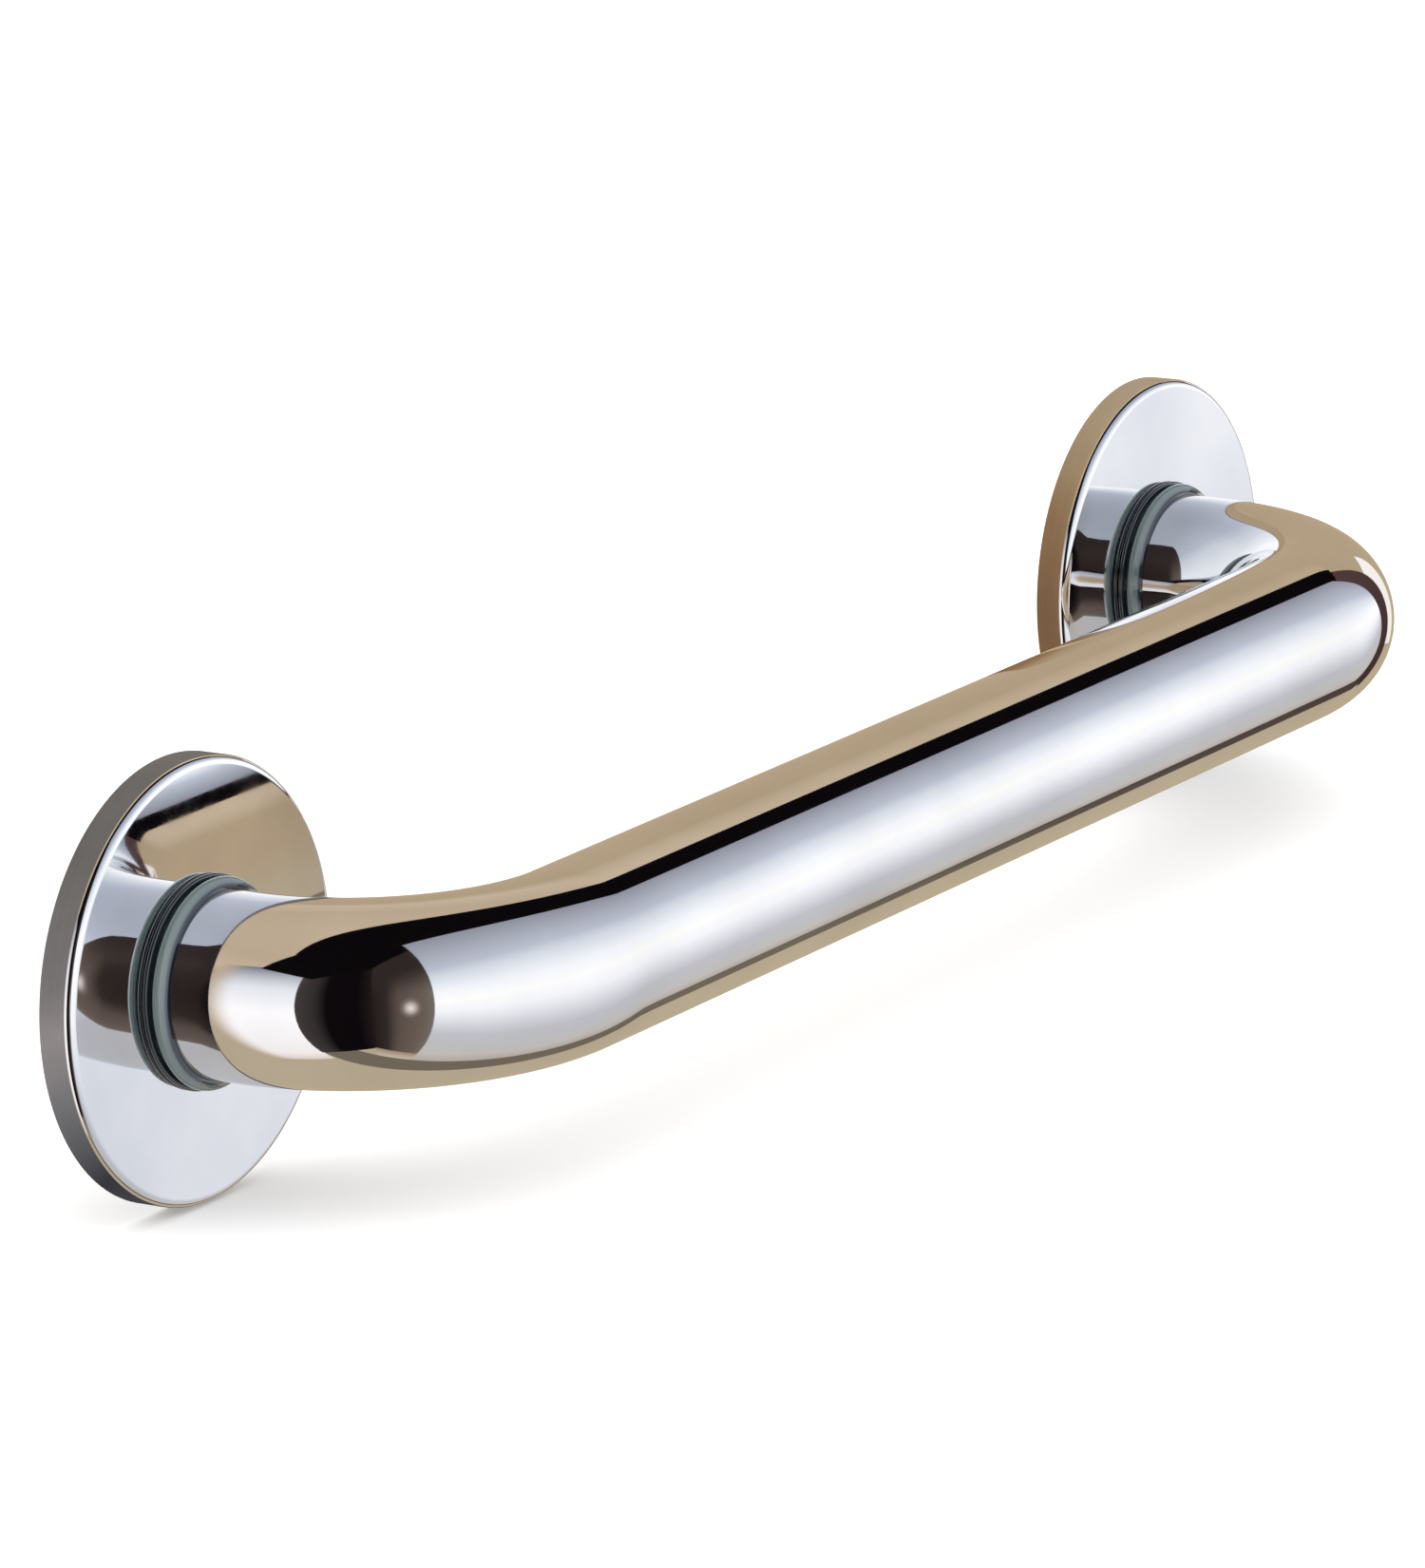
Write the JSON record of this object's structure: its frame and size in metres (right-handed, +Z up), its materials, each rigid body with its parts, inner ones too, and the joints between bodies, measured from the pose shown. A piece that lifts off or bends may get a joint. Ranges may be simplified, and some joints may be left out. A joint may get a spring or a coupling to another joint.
{
  "type": "grab rail",
  "caption": "Straight polished steel grab rail with bent ends, round screw-hiding covers that slide and turn on the legs, and collar rings.",
  "frame": {"origin": "on the wall plane, midway between the centres of the two fixings", "axes": "+X along the rail from the left leg to the right leg, +Y square into the wall, +Z up"},
  "size_m": [0.4, 0.07, 0.076],
  "materials": {
    "polished_tube": "mirror polished stainless steel",
    "polished_cover": "mirror polished stainless steel sheet",
    "plate_steel": "plain mill finish",
    "weld_steel": "as welded, lightly tinted",
    "collar_polymer": "glossy smoke teal, flexible",
    "gasket_rubber": "matt closed-cell rubber"
  },
  "bodies": {
    "rail": {"rail_tube": "polished_tube", "left_mount_plate": "plate_steel", "right_mount_plate": "plate_steel", "left_weld_bead": "weld_steel", "right_weld_bead": "weld_steel", "left_wall_gasket": "gasket_rubber", "right_wall_gasket": "gasket_rubber"},
    "left_collar": {"left_collar_ring": "collar_polymer"},
    "right_collar": {"right_collar_ring": "collar_polymer"},
    "left_cover_shell": {"left_cover": "polished_cover"},
    "right_cover_shell": {"right_cover": "polished_cover"}
  },
  "joints": [
    {"name": "left_cover_slide", "type": "slide", "parent": "rail", "child": "left_collar", "axis": [0, -1, 0], "range_m": [0, 0.005]},
    {"name": "right_cover_slide", "type": "slide", "parent": "rail", "child": "right_collar", "axis": [0, -1, 0], "range_m": [0, 0.005]},
    {"name": "left_cover_spin", "type": "hinge", "parent": "left_collar", "child": "left_cover_shell", "pos_m": [-0.162, -0.0065, 0], "axis": [0, -1, 0], "continuous": true},
    {"name": "right_cover_spin", "type": "hinge", "parent": "right_collar", "child": "right_cover_shell", "pos_m": [0.162, -0.0065, 0], "axis": [0, -1, 0], "continuous": true}
  ]
}
